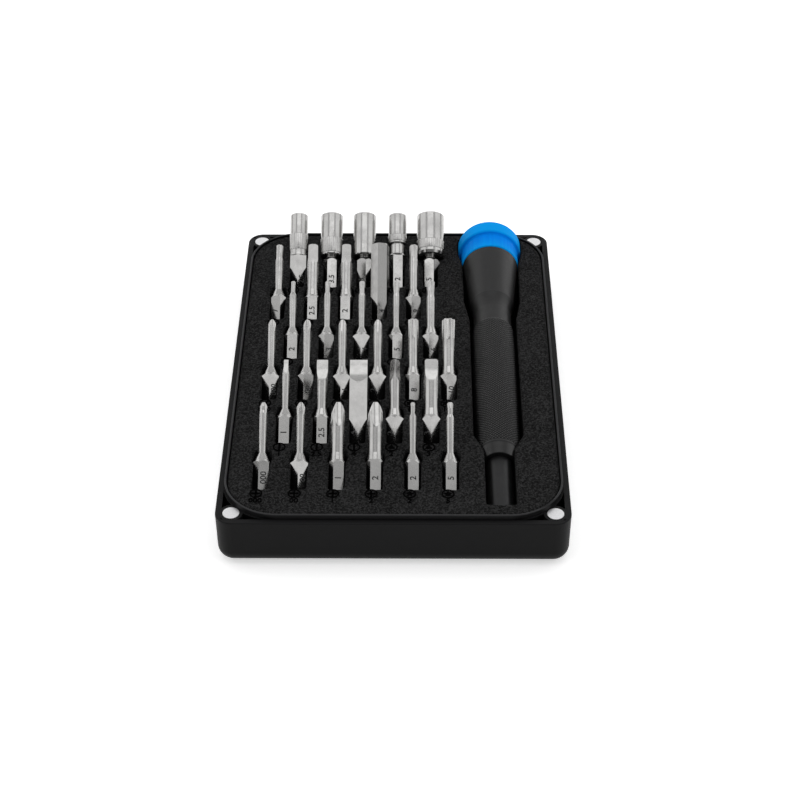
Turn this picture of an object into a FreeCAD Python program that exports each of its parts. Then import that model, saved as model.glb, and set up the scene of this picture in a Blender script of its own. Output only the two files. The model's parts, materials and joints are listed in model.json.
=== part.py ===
import FreeCAD, Part
import os

import Sketcher
from FreeCAD import Placement, Rotation, Vector

# A pocket tool set: a moulded tray, a foam insert, 32 short 4 mm hex bits and a precision driver.
# Frame: +Z up, +Y to the back of the tray, origin under the middle of the tray's flat underside.

DRIVING_SIZES = {
    # tray
    "tray_width": 76.4, "tray_length": 112.2, "rim_height": 12.0, "base_inset": 0.2,
    "base_corner": 3.5, "base_round": 3.4, "floor_thickness": 1.6,
    "ridge_inset": 1.35, "ridge_height": 1.3, "ridge_width": 0.5, "ridge_corner": 12.0,
    "edge_round": 0.25, "ridge_round": 0.2, "corner_ledge": 0.35, "corner_depth": 6.0,
    # lid magnets and their bosses
    "magnet_inset": 3.46, "magnet_radius": 1.8, "magnet_height": 2.0, "boss_radius": 2.55,
    "seat_gap": 0.05,
    # foam insert
    "foam_gap": 0.15, "foam_top": 13.0, "foam_corner": 11.35,
    "slot_width": 4.8, "slot_play": 0.08, "slot_front": 21.1, "slot_back": 9.2,
    "scoop_width": 7.3, "scoop_depth": 2.7,
    # bits
    "bit_length": 28.0, "shank_flats": 4.0, "shank_length": 14.6, "flare_length": 1.6,
    "shoulder_radius": 1.62, "socket_shoulder": 1.75, "shoulder_step": 0.9,
    "butt_chamfer": 0.5, "bit_slope": 35.0, "tip_height": 20.15,
    "blade_edge": 0.2, "blade_root": 0.28, "grind_radius": 7.5,
    "even_row_left": -29.08, "odd_row_left": -24.9, "column_pitch": 8.3,
    "front_row_tip": -24.73, "row_pitch": 15.79, "socket_row_tip": 52.09,
    "socket_length": 11.2, "socket_hole_depth": 3.5, "undercut_radius": 1.4, "undercut": 0.6,
    # driver
    "driver_across": 23.3, "driver_front": -50.5, "driver_height": 9.1, "driver_tilt": 1.34,
    "holder_radius": 3.05, "holder_length": 50.0, "holder_hex_flats": 4.1, "holder_hex_depth": 9.0,
    "holder_magnet_radius": 1.6, "holder_magnet_height": 2.5,
    "collar_start": 16.6, "collar_front_radius": 4.15, "collar_rear_radius": 4.75,
    "knurl_start": 19.8, "knurl_front_radius": 4.85, "knurl_radius": 5.0, "knurl_end": 65.5,
    "waist_radius": 4.65, "waist_end": 71.0, "neck_radius": 5.4, "neck_end": 75.4,
    "neck_bow": 13.5, "seam_radius": 6.95, "seam": 91.9,
    "cap_gap": 0.1, "cap_band_radius": 7.1, "cap_flange_start": 97.3, "cap_flange_radius": 7.9,
    "cap_end": 101.9, "cap_wall": 1.5,
    "spindle_radius": 1.5, "spindle_sunk": 12.0,
    "race_bore": 1.5, "inner_race_radius": 2.5, "outer_race_bore": 3.5, "outer_race_radius": 4.5,
    "race_width": 3.0, "ball_radius": 0.48, "ball_orbit": 3.0,
    "clip_radius": 2.6, "clip_thickness": 0.6,
    "recess_shaft_half": 3.25, "recess_knurl_half": 5.5, "recess_head_half": 7.2,
    "recess_cap_half": 8.15, "recess_play": 0.2,
}

# Every bit: row counted from the front, place in the row from the left, tip form, shaft and tip
# diameters, tip length, turn of the tip and turn of the hex shank about the bit's own axis.
# At turn 0 a shank shows a corner on top, and at 30 a flat.
BITS = {
    "bit_cross_000": (1, 0, "cross", 1.7, 1.6, 2.6, 45, -15),
    "bit_cross_00": (1, 1, "cross", 1.8, 1.85, 3.0, 45, -5),
    "bit_cross_1": (1, 2, "cross", 3.0, 3.4, 5.8, 10, 40),
    "bit_cross_2": (1, 3, "cross", 3.3, 3.75, 6.0, 8, 35),
    "bit_five_lobe_2": (1, 4, "five_lobe", 1.65, 1.0, 2.6, 5, 35),
    "bit_five_lobe_5": (1, 5, "five_lobe", 1.8, 1.3, 2.8, 4, 34),
    "bit_flat_1_0": (2, 0, "blade", 1.65, 1.15, 3.5, -2, 28),
    "bit_flat_2_5": (2, 1, "blade", 2.3, 2.6, 5.5, 0, 35),
    "bit_flat_4_0": (2, 2, "blade", 4.62, 4.62, 6.1, 0, 0),
    "bit_triangle_2": (2, 3, "triangle", 2.5, 2.4, 5.3, 0, 0),
    "bit_triangle_3": (2, 4, "triangle", 3.5, 3.5, 5.6, 60, 0),
    "bit_fine_cross_000": (3, 0, "cross", 1.75, 1.75, 3.0, 42, -3),
    "bit_fine_cross_00": (3, 1, "cross", 1.8, 1.8, 3.0, 30, -13),
    "bit_three_wing_1": (3, 2, "three_wing", 2.0, 2.0, 3.2, -5, -5),
    "bit_three_wing_2": (3, 3, "three_wing", 2.1, 2.1, 3.4, 0, 0),
    "bit_star_8": (3, 4, "star", 2.35, 2.4, 4.2, 8, 38),
    "bit_star_10": (3, 5, "star", 2.95, 3.1, 4.6, -11, -11),
    "bit_star_2": (4, 0, "star", 1.7, 1.05, 2.8, 4, 34),
    "bit_star_3": (4, 1, "star", 1.65, 1.15, 2.8, -12, -12),
    "bit_star_4": (4, 2, "star", 1.65, 1.3, 3.0, -3, -3),
    "bit_star_5": (4, 3, "star", 1.65, 1.5, 3.2, 9, 39),
    "bit_star_6": (4, 4, "star", 2.15, 1.9, 3.6, -10, -10),
    "bit_star_7": (5, 0, "star", 1.9, 1.6, 3.4, 14, 14),
    "bit_hex_medium": (5, 1, "hex", 2.85, 2.35, 5.0, 33, 33),
    "bit_hex_small": (5, 2, "hex", 2.8, 2.15, 5.0, 27, 27),
    "bit_hex_large": (5, 3, "full_hex", 4.62, 4.62, 0.4, -13, -13),
    "bit_star_bored": (5, 4, "star_bored", 2.15, 2.0, 3.6, -12, -12),
    "bit_socket_2_5": (6, 0, "socket", 4.5, 2.5, 0.6, 0, 0),
    "bit_socket_3_5": (6, 1, "socket", 5.6, 3.5, 0.3, 37, 37),
    "bit_socket_3_0": (6, 2, "socket", 5.75, 3.0, 0.3, 11, 11),
    "bit_socket_2_0": (6, 3, "socket", 4.6, 2.0, 0.9, 35, 35),
    "bit_socket_5_0": (6, 4, "socket", 6.9, 5.0, 0.9, 21, 21),
}

DOC = FreeCAD.newDocument("screwdriver_set")
SHEET = DOC.addObject("Spreadsheet::Sheet", "Sizes")


def fill_sheet():
    """Write every driving dimension as a plain number with an alias."""
    rows = dict(DRIVING_SIZES)
    for label, (_, _, _, shaft, tip, tip_length, _, _) in BITS.items():
        rows[label + "_shaft"] = shaft
        rows[label + "_tip"] = tip
        rows[label + "_tip_length"] = tip_length
    for row, (alias, value) in enumerate(rows.items(), start=1):
        SHEET.set("A%d" % row, alias)
        SHEET.set("B%d" % row, str(value))
        SHEET.setAlias("B%d" % row, alias)
    DOC.recompute()


def sized(text):
    """Turn {alias} into a reference to the sheet."""
    return text.replace("{", "Sizes.").replace("}", "")


def bind(item, name, text):
    item.setExpression(name, sized(text))


def value_of(text):
    return float(SHEET.evalExpression(text.replace("{", "").replace("}", "")))


# ---- sketches ----------------------------------------------------------------------------------


def new_body(label):
    body = DOC.addObject("PartDesign::Body", label)
    body.Label = label
    return body


def new_sketch(body, name, plane, level=None):
    """A sketch on one of the body's own origin planes, moved along its normal by level."""
    sketch = body.newObject("Sketcher::SketchObject", name)
    support = [item for item in body.Origin.OriginFeatures if item.Role == plane][0]
    sketch.AttachmentSupport = (support, [""])
    sketch.MapMode = "FlatFace"
    if level:
        bind(sketch, "AttachmentOffset.Base.z", level)
    return sketch


def hold(sketch, kind, refs, text):
    """Add one dimension and tie it to the sheet."""
    index = sketch.addConstraint(Sketcher.Constraint(kind, *refs, value_of(text)))
    name = "size_%d" % index
    sketch.renameConstraint(index, name)
    bind(sketch, "Constraints." + name, text)


def bowed_line(start, end, bow):
    """An arc from start to end with the given radius, bent to the left of the way from start."""
    half = (end - start) * 0.5
    left = Vector(-half.y, half.x, 0).normalize()
    rise = abs(bow) - (bow ** 2 - half.Length ** 2) ** 0.5
    return Part.Arc(start, start + half + left * (rise if bow > 0 else -rise), end)


def draw_outline(sketch, corners):
    """A closed outline through corners given as pairs of expressions.

    A third value on a corner bends the side that leaves it to that radius: to the left of its
    way if the value is positive, and to the right if it is negative.
    """
    points = [Vector(value_of(corner[0]), value_of(corner[1]), 0) for corner in corners]
    count = len(points)
    sides = []
    for index, corner in enumerate(corners):
        start, end = points[index], points[(index + 1) % count]
        bow = value_of(corner[2]) if len(corner) == 3 else 0
        shape = bowed_line(start, end, bow) if bow else Part.LineSegment(start, end)
        side = sketch.addGeometry(shape)
        # an arc is kept counter-clockwise, so one that bends to the right starts at its far end
        begin, finish = (1, 2) if bow <= 0 else (2, 1)
        sides.append((side, begin, finish))
    for index, corner in enumerate(corners):
        side, begin, finish = sides[index]
        following, following_begin, _ = sides[(index + 1) % count]
        sketch.addConstraint(Sketcher.Constraint("Coincident", side, finish, following, following_begin))
        hold(sketch, "DistanceX", (-1, 1, side, begin), corner[0])
        hold(sketch, "DistanceY", (-1, 1, side, begin), corner[1])
        if len(corner) == 3:
            hold(sketch, "Radius", (side,), "abs(%s)" % corner[2])


def draw_polygon(sketch, sides, radius, turn):
    """A regular polygon about the sketch's origin, with its first corner turned from +X."""
    corners = []
    for index in range(sides):
        angle = "(%g deg)" % (turn + 360.0 * index / sides)
        corners.append(("(%s) * cos%s" % (radius, angle), "(%s) * sin%s" % (radius, angle)))
    draw_outline(sketch, corners)


def draw_circle(sketch, across, up, radius):
    centre = Vector(value_of(across), value_of(up), 0)
    circle = sketch.addGeometry(Part.Circle(centre, Vector(0, 0, 1), value_of(radius)))
    hold(sketch, "Radius", (circle,), radius)
    hold(sketch, "DistanceX", (-1, 1, circle, 3), across)
    hold(sketch, "DistanceY", (-1, 1, circle, 3), up)


def draw_rounded_rectangle(sketch, half_width, half_length, radius):
    """A rectangle with equal round corners, centred on the sketch's origin."""
    wide, long, bend = value_of(half_width), value_of(half_length), value_of(radius)
    quarter = 1.5707963267948966
    inner_x, inner_y = wide - bend, long - bend
    centres = [(inner_x, inner_y), (-inner_x, inner_y), (-inner_x, -inner_y), (inner_x, -inner_y)]
    arcs = []
    for index, (x, y) in enumerate(centres):
        circle = Part.Circle(Vector(x, y, 0), Vector(0, 0, 1), bend)
        arc = Part.ArcOfCircle(circle, index * quarter, (index + 1) * quarter)
        arcs.append(sketch.addGeometry(arc))
    sides = []
    for index in range(4):
        start = sketch.getPoint(arcs[index], 2)
        end = sketch.getPoint(arcs[(index + 1) % 4], 1)
        sides.append(sketch.addGeometry(Part.LineSegment(start, end)))
    for index in range(4):
        sketch.addConstraint(Sketcher.Constraint("Tangent", arcs[index], 2, sides[index], 1))
        sketch.addConstraint(Sketcher.Constraint("Tangent", sides[index], 2, arcs[(index + 1) % 4], 1))
        if index:
            sketch.addConstraint(Sketcher.Constraint("Equal", arcs[0], arcs[index]))
    hold(sketch, "Radius", (arcs[0],), radius)
    hold(sketch, "DistanceY", (-1, 1, sides[0], 1), half_length)
    hold(sketch, "DistanceX", (sides[1], 1, -1, 1), half_width)
    hold(sketch, "DistanceY", (sides[2], 1, -1, 1), half_length)
    hold(sketch, "DistanceX", (-1, 1, sides[3], 1), half_width)


# ---- features ----------------------------------------------------------------------------------


def pad(body, name, sketch, length):
    feature = body.newObject("PartDesign::Pad", name)
    feature.Profile = sketch
    bind(feature, "Length", length)
    DOC.recompute()
    return feature


def check_cut(body, before, name):
    DOC.recompute()
    if body.Shape.Volume > before - 1e-6:
        raise RuntimeError(name + " cuts nothing")


def pocket(body, name, sketch, depth, middle=False, reverse=False):
    before = body.Shape.Volume
    feature = body.newObject("PartDesign::Pocket", name)
    feature.Profile = sketch
    feature.Midplane = middle
    feature.Reversed = reverse
    bind(feature, "Length", depth)
    check_cut(body, before, name)
    return feature


def revolve(body, name, corners):
    """Turn an outline of radius and height pairs about the body's own Z axis."""
    sketch = new_sketch(body, name + "_profile", "XZ_Plane")
    draw_outline(sketch, corners)
    feature = body.newObject("PartDesign::Revolution", name)
    feature.Profile = sketch
    feature.ReferenceAxis = (sketch, ["V_Axis"])
    feature.Angle = 360
    DOC.recompute()
    return feature


def repeat_around(body, name, feature, count):
    before = body.Shape.Volume
    pattern = body.newObject("PartDesign::PolarPattern", name)
    pattern.Originals = [feature]
    pattern.Axis = ([item for item in body.Origin.OriginFeatures if item.Role == "Z_Axis"][0], [""])
    pattern.Angle = 360
    pattern.Occurrences = count
    body.Tip = pattern
    check_cut(body, before, name)


def repeat_across(body, name, feature, length, count):
    before = body.Shape.Volume
    pattern = body.newObject("PartDesign::LinearPattern", name)
    pattern.Originals = [feature]
    pattern.Direction = ([item for item in body.Origin.OriginFeatures if item.Role == "X_Axis"][0], [""])
    bind(pattern, "Length", length)
    pattern.Occurrences = count
    body.Tip = pattern
    check_cut(body, before, name)


def round_edges(body, name, radius, wanted):
    """Fillet the edges of the body's present shape that wanted() picks by their box."""
    base = body.Tip
    names = ["Edge%d" % index for index, edge in enumerate(base.Shape.Edges, start=1)
             if wanted(edge.BoundBox)]
    feature = body.newObject("PartDesign::Fillet", name)
    feature.Base = (base, names)
    bind(feature, "Radius", radius)
    DOC.recompute()
    return feature


# ---- tray --------------------------------------------------------------------------------------


def at_corners(across, up):
    """The four mirrored places of one corner feature, as pairs of expressions."""
    return [("%d * (%s)" % (side, across), "%d * (%s)" % (end, up))
            for side in (-1, 1) for end in (-1, 1)]


def draw_corner_wells(sketch):
    """Four three-sided wells, each between the rim's inner corner and the ridge's round corner."""
    side = value_of("{tray_width} / 2 - {ridge_inset}")
    end = value_of("{tray_length} / 2 - {ridge_inset}")
    bend = value_of("{ridge_corner}")
    reach = value_of("{ridge_corner} + {corner_ledge}")
    # the arc's half angle from the corner's diagonal, where it meets the two straight walls
    run = (reach ** 2 - bend ** 2) ** 0.5
    for sign_x in (-1, 1):
        for sign_y in (-1, 1):
            corner = Vector(sign_x * side, sign_y * end, 0)
            middle = Vector(sign_x * (side - bend), sign_y * (end - bend), 0)
            on_side = Vector(sign_x * side, middle.y + sign_y * run, 0)
            on_end = Vector(middle.x + sign_x * run, sign_y * end, 0)
            outward = Vector(sign_x, sign_y, 0).normalize()
            arc = Part.Arc(on_side, middle + outward * reach, on_end)
            edge_side = sketch.addGeometry(Part.LineSegment(corner, on_side))
            edge_end = sketch.addGeometry(Part.LineSegment(on_end, corner))
            bow = sketch.addGeometry(arc)
            close_well(sketch, edge_side, edge_end, bow, sign_x, sign_y)


def close_well(sketch, edge_side, edge_end, bow, sign_x, sign_y):
    """Hold one well's corner and the arc's centre, and join its three edges."""
    side = "%d * ({tray_width} / 2 - {ridge_inset})" % sign_x
    end = "%d * ({tray_length} / 2 - {ridge_inset})" % sign_y
    bow_near_side = 1 if sign_x * sign_y > 0 else 2
    sketch.addConstraint(Sketcher.Constraint("Coincident", edge_side, 1, edge_end, 2))
    sketch.addConstraint(Sketcher.Constraint("Coincident", edge_side, 2, bow, bow_near_side))
    sketch.addConstraint(Sketcher.Constraint("Coincident", edge_end, 1, bow, 3 - bow_near_side))
    sketch.addConstraint(Sketcher.Constraint("Vertical", edge_side))
    sketch.addConstraint(Sketcher.Constraint("Horizontal", edge_end))
    hold(sketch, "DistanceX", (-1, 1, edge_side, 1), side)
    hold(sketch, "DistanceY", (-1, 1, edge_side, 1), end)
    hold(sketch, "DistanceX", (-1, 1, bow, 3), side + " - %d * {ridge_corner}" % sign_x)
    hold(sketch, "DistanceY", (-1, 1, bow, 3), end + " - %d * {ridge_corner}" % sign_y)
    hold(sketch, "Radius", (bow,), "{ridge_corner} + {corner_ledge}")


def magnet_places():
    return at_corners("{tray_width} / 2 - {magnet_inset}", "{tray_length} / 2 - {magnet_inset}")


def build_tray():
    body = new_body("tray_shell")
    base = new_sketch(body, "tray_base", "XY_Plane")
    draw_rounded_rectangle(base, "{tray_width} / 2 - {base_inset}",
                           "{tray_length} / 2 - {base_inset}", "{base_corner}")
    walls = pad(body, "tray_walls", base, "{rim_height}")
    bind(walls, "TaperAngle", "atan({base_inset} / {rim_height})")
    DOC.recompute()
    round_edges(body, "tray_base_round", "{base_round}", lambda box: box.ZMax < 1e-6)
    top = value_of("{rim_height}")
    round_edges(body, "tray_rim_round", "{edge_round}", lambda box: box.ZMin > top - 1e-6)

    ridge = new_sketch(body, "ridge_outline", "XY_Plane", "{rim_height} - 1")
    draw_rounded_rectangle(ridge, "{tray_width} / 2 - {ridge_inset}",
                           "{tray_length} / 2 - {ridge_inset}", "{ridge_corner}")
    pad(body, "ridge", ridge, "{ridge_height} + 1")
    wells = new_sketch(body, "corner_wells_outline", "XY_Plane", "{rim_height}")
    draw_corner_wells(wells)
    pocket(body, "corner_wells", wells, "{corner_depth}")
    bosses = new_sketch(body, "boss_outline", "XY_Plane", "{rim_height} - {corner_depth}")
    seats = new_sketch(body, "magnet_seat_outline", "XY_Plane", "{rim_height}")
    for across, up in magnet_places():
        draw_circle(bosses, across, up, "{boss_radius}")
        draw_circle(seats, across, up, "{magnet_radius} + {seat_gap}")
    pad(body, "bosses", bosses, "{corner_depth}")
    pocket(body, "magnet_seats", seats, "{magnet_height} + {seat_gap}")
    cavity = new_sketch(body, "cavity_outline", "XY_Plane", "{rim_height} + {ridge_height}")
    draw_rounded_rectangle(cavity, "{tray_width} / 2 - {ridge_inset} - {ridge_width}",
                           "{tray_length} / 2 - {ridge_inset} - {ridge_width}",
                           "{ridge_corner} - {ridge_width}")
    pocket(body, "foam_cavity", cavity, "{rim_height} + {ridge_height} - {floor_thickness}")
    crest = value_of("{rim_height} + {ridge_height}")
    round_edges(body, "ridge_crest_round", "{ridge_round}", lambda box: box.ZMin > crest - 1e-6)
    return body


def build_magnets():
    """Four disc magnets, one in each corner boss, flush with the rim."""
    discs = []
    for index, (across, up) in enumerate(magnet_places()):
        disc = DOC.addObject("Part::Cylinder", "magnet_disc_%d" % index)
        bind(disc, "Radius", "{magnet_radius}")
        bind(disc, "Height", "{magnet_height}")
        bind(disc, "Placement.Base.x", across)
        bind(disc, "Placement.Base.y", up)
        bind(disc, "Placement.Base.z", "{rim_height} - {magnet_height}")
        discs.append(disc)
    group = DOC.addObject("Part::Compound", "tray_magnets")
    group.Label = "tray_magnets"
    group.Links = discs
    return group


# ---- foam insert -------------------------------------------------------------------------------


def row_left(row):
    return "{even_row_left}" if row % 2 else "{odd_row_left}"


def row_tip(row):
    """Where the tips of a row lie along the tray; the socket row at the back is set closer."""
    if row == 6:
        return "{socket_row_tip}"
    return "({front_row_tip} + %d * {row_pitch})" % (row - 1)


def slot_outline(row):
    """Side view of a bit slot: an open pit, with a ramp at the back for the shank to slide on.

    At the front it runs on under the surface to the butt.
    """
    tip = row_tip(row)
    half = "({shank_flats} / sqrt(3) + {slot_play})"
    rise, run = "sin({bit_slope} * 1 deg)", "cos({bit_slope} * 1 deg)"
    along = "({bit_length} + {slot_play})"
    front = "%s - {slot_front}" % tip
    front_height = "{tip_height} + %s / %s - {slot_front} * %s / %s" % (half, run, rise, run)
    butt = "%s - %s * %s" % (tip, along, run)
    butt_height = "{tip_height} - %s * %s" % (along, rise)
    rise_above = "({foam_top} + 1 - {tip_height} + %s * %s)" % (half, run)
    back = "%s + %s * %s + %s * %s / %s" % (tip, half, rise, rise_above, run, rise)
    return [
        (front, "{foam_top} + 1"),
        (front, front_height),
        ("%s - %s * %s" % (butt, half, rise), "%s + %s * %s" % (butt_height, half, run)),
        ("%s + %s * %s" % (butt, half, rise), "%s - %s * %s" % (butt_height, half, run)),
        (back, "{foam_top} + 1"),
    ]


def scoop_outline(row):
    """Side view of the shallow scoop under a nut driver's wide end."""
    tip = row_tip(row)
    low = "{foam_top} - {scoop_depth}"
    return [("%s - {slot_back} - 2.5" % tip, "{foam_top} + 1"),
            ("%s - {slot_back} - 2.5" % tip, low), ("%s - {slot_back} + 2" % tip, low),
            ("%s - {slot_back} + 7" % tip, "{foam_top} + 1")]


def recess_step(body, name, half_width, front, back, depth):
    """One straight length of the driver's recess, cut down from the foam's top."""
    sketch = new_sketch(body, name + "_outline", "XY_Plane", "{foam_top}")
    left = "{driver_across} - %s" % half_width
    right = "{driver_across} + %s" % half_width
    draw_outline(sketch, [(left, front), (right, front), (right, back), (left, back)])
    pocket(body, name, sketch, depth)


def build_foam():
    body = new_body("foam_insert")
    outline = new_sketch(body, "foam_outline", "XY_Plane", "{floor_thickness}")
    edge = "{ridge_inset} - {ridge_width} - {foam_gap}"
    draw_rounded_rectangle(outline, "{tray_width} / 2 - " + edge, "{tray_length} / 2 - " + edge,
                           "{foam_corner}")
    pad(body, "foam_block", outline, "{foam_top} - {floor_thickness}")
    for row in range(1, 7):
        count = len([bit for bit in BITS.values() if bit[0] == row])
        sketch = new_sketch(body, "slot_%d_outline" % row, "YZ_Plane", row_left(row))
        draw_outline(sketch, slot_outline(row))
        slot = pocket(body, "slot_%d" % row, sketch, "{slot_width}", middle=True)
        repeat_across(body, "slots_%d" % row, slot, "%d * {column_pitch}" % (count - 1), count)
    sketch = new_sketch(body, "scoop_outline", "YZ_Plane", row_left(6))
    draw_outline(sketch, scoop_outline(6))
    scoop = pocket(body, "scoop", sketch, "{scoop_width}", middle=True)
    repeat_across(body, "scoops", scoop, "4 * {column_pitch}", 5)
    front = "{driver_front} - {recess_play}"
    collar = "({driver_front} + {collar_start} - 2 * {recess_play})"
    waist = "({driver_front} + {waist_end} - {recess_play})"
    seam = "({driver_front} + {seam} - 2)"
    low = "{foam_top} - {driver_height}"
    recess_step(body, "shaft_recess", "{recess_shaft_half}", front, collar + " + 1",
                low + " + {holder_radius} + {recess_play}")
    recess_step(body, "knurl_recess", "{recess_knurl_half}", collar, waist + " + 1",
                low + " + {knurl_radius} + {recess_play}")
    recess_step(body, "head_recess", "{recess_head_half}", waist, seam + " + 1",
                low + " + {seam_radius} - 1")
    recess_step(body, "cap_recess", "{recess_cap_half}", seam,
                "{driver_front} + {cap_end} + {recess_play}", "{foam_top} - {floor_thickness} + 1")
    return body


# ---- bits --------------------------------------------------------------------------------------


def socket_profile(label):
    """Radius and height pairs of a nut driver, from the end of its shank to its mouth."""
    corner = "{shank_flats} / sqrt(3)"
    body = "{%s_shaft} / 2" % label
    lead = "{%s_tip_length}" % label
    foot = "({bit_length} - {socket_length})"
    mouth = [(body, "{bit_length} - 0.25"), (body + " - 0.25", "{bit_length}")]
    if label == "bit_socket_2_5":
        return [(corner, foot), (body, foot + " + " + lead)] + mouth
    if label == "bit_socket_2_0":
        groove = foot + " + 2.9"
        return [(corner, foot), (body + " - 0.4", foot + " + 0.5"),
                (body + " - 0.4", groove), (body + " - 0.7", groove + " + 0.1"),
                (body + " - 0.7", groove + " + 0.4"), (body, groove + " + 0.5")] + mouth
    neck = "{undercut_radius}"
    return [(corner, foot + " - {undercut} - {shoulder_step}"),
            ("{socket_shoulder}", foot + " - {undercut}"), (neck, foot + " - {undercut} + 0.1"),
            (neck, foot), (body + " - " + lead, foot),
            (body + " - 0.3 * " + lead, foot + " + 0.3 * " + lead), (body, foot + " + " + lead)] + mouth


def tip_profile(label, form):
    """Radius and height pairs from the flare to the end of the tip, for a turned bit."""
    shaft = "{%s_shaft} / 2" % label
    tip = "{%s_tip} / 2" % label
    length = "{%s_tip_length}" % label
    if form in ("cross", "three_wing"):
        return [(shaft, "{bit_length} - " + length), (tip, "{bit_length} - 0.75 * " + length),
                (tip, "{bit_length} - 1.3 * " + tip), (tip + " * 0.72", "{bit_length} - 0.5 * " + tip),
                (tip + " * 0.35", "{bit_length}")]
    if form == "blade":
        return [(shaft, "{bit_length} - " + length), (tip, "{bit_length} - 0.4 * " + length),
                (tip, "{bit_length} - 0.2"), (tip + " - 0.1", "{bit_length}")]
    if form == "full_hex":
        return [(shaft, "{bit_length} - " + length), (tip + " - 0.2", "{bit_length}")]
    if form in ("hex", "triangle"):
        return [(shaft, "{bit_length} - 0.4"), (shaft + " - 0.3", "{bit_length}")]
    return [(shaft, "{bit_length} - %s - 0.7" % length), (tip, "{bit_length} - " + length),
            (tip, "{bit_length} - 0.15"), (tip + " - 0.12", "{bit_length}")]


def turned_profile(label, form):
    """The whole outline of a turned bit, before the hex shank and the tip are cut."""
    corner = "{shank_flats} / sqrt(3)"
    shaft = "{%s_shaft} / 2" % label
    profile = [("0", "0"), (corner + " - {butt_chamfer}", "0"), (corner, "{butt_chamfer}")]
    if form == "socket":
        return profile + socket_profile(label) + [("0", "{bit_length}")]
    if value_of(shaft) > value_of(corner) - 0.01:
        # the shank's full hexagon runs on to the tip
        tip = tip_profile(label, form)
        return profile + [(corner, tip[0][1])] + tip[1:] + [("0", "{bit_length}")]
    edge = "max({shoulder_radius}; %s + 0.13)" % shaft
    profile += [(corner, "{shank_length} - {shoulder_step}"), (edge, "{shank_length}"),
                (shaft, "{shank_length} + {flare_length}")]
    return profile + tip_profile(label, form) + [("0", "{bit_length}")]


def cut_shank(body, label, turn, form):
    """Leave a hexagon from the butt to the flare."""
    sketch = new_sketch(body, label + "_shank_outline", "XY_Plane")
    draw_polygon(sketch, 6, "{shank_flats} / sqrt(3)", turn)
    draw_circle(sketch, "0", "0", "{shank_flats}")
    length = "{shank_length} + {flare_length}"
    if form == "socket":
        length = "{bit_length} - {socket_length}"
    elif form == "full_hex":
        length = "{bit_length}"
    elif value_of("{%s_shaft}" % label) > 4.1:
        length = "{bit_length}"
    pocket(body, label + "_shank", sketch, length, reverse=True)


def cut_flutes(body, label, count, orbit, radius, depth):
    """Round flutes spaced evenly about the axis; they lean outwards and so run out in the shaft."""
    sketch = new_sketch(body, label + "_flute_outline", "XY_Plane", "{bit_length}")
    web = "(%s - %s)" % (orbit, radius)
    lean = value_of("atan(({%s_shaft} / 2 - %s) / (%s)) / 1 deg" % (label, web, depth))
    sketch.AttachmentOffset = Placement(sketch.AttachmentOffset.Base, Rotation(Vector(1, 0, 0), -lean))
    draw_circle(sketch, "0", "-(%s)" % orbit, radius)
    flute = pocket(body, label + "_flute", sketch, "1.2 * (%s) + 1" % depth)
    repeat_around(body, label + "_flutes", flute, count)


def grind_face(body, label, name, side, edge, root, out):
    """Grind one face of a tip, as seen from the side: flat from the end, then out on a wheel's arc.

    The three levels are half thicknesses: at the tip's end, where the arc starts, and where it
    leaves the shaft at the whole tip length.
    """
    sketch = new_sketch(body, name + "_outline", "YZ_Plane")
    reach = "%d * ({%s_shaft} + 1)" % (side, label)
    length = "{%s_tip_length}" % label
    rise = "(%s - (%s))" % (out, root)
    arc_start = "max(0.3; %s - sqrt(2 * {grind_radius} * %s - %s ^ 2))" % (length, rise, rise)
    draw_outline(sketch, [("%d * (%s)" % (side, edge), "{bit_length} + 1"),
                          ("%d * (%s)" % (side, edge), "{bit_length}"),
                          ("%d * (%s)" % (side, root), "{bit_length} - (%s)" % arc_start,
                           "%d * {grind_radius}" % -side),
                          ("%d * (%s)" % (side, out), "{bit_length} - " + length),
                          (reach, "{bit_length} - " + length), (reach, "{bit_length} + 1")])
    return pocket(body, name, sketch, "3 * {shank_flats}", middle=True)


def cut_blade(body, label):
    """Grind the two nearly parallel faces of a flat blade."""
    for side in (-1, 1):
        grind_face(body, label, "%s_face_%d" % (label, side + 1), side, "{blade_edge}",
                   "{blade_root}", "({%s_shaft} / 2 + 0.05)" % label)


def cut_polygon_tip(body, label, sides, radius):
    """Leave a tip with the given number of flat faces that run out on an arc into the shaft."""
    level = "%s * cos(%g deg)" % (radius, 180.0 / sides)
    face = grind_face(body, label, label + "_face", 1, level, level + " + 0.03",
                      "({%s_shaft} / 2 + 0.02)" % label)
    repeat_around(body, label + "_faces", face, sides)


def cut_pin_hole(body, label):
    """The hole that clears the pin of a tamper-proof star screw."""
    sketch = new_sketch(body, label + "_pin_hole_outline", "XY_Plane", "{bit_length}")
    draw_circle(sketch, "0", "0", "{%s_tip} * 0.17" % label)
    pocket(body, label + "_pin_hole", sketch, "{%s_tip}" % label)


def cut_socket(body, label):
    sketch = new_sketch(body, label + "_hole_outline", "XY_Plane", "{bit_length}")
    draw_polygon(sketch, 6, "{%s_tip} / sqrt(3)" % label, -90)
    pocket(body, label + "_hole", sketch, "{socket_hole_depth}")


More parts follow.
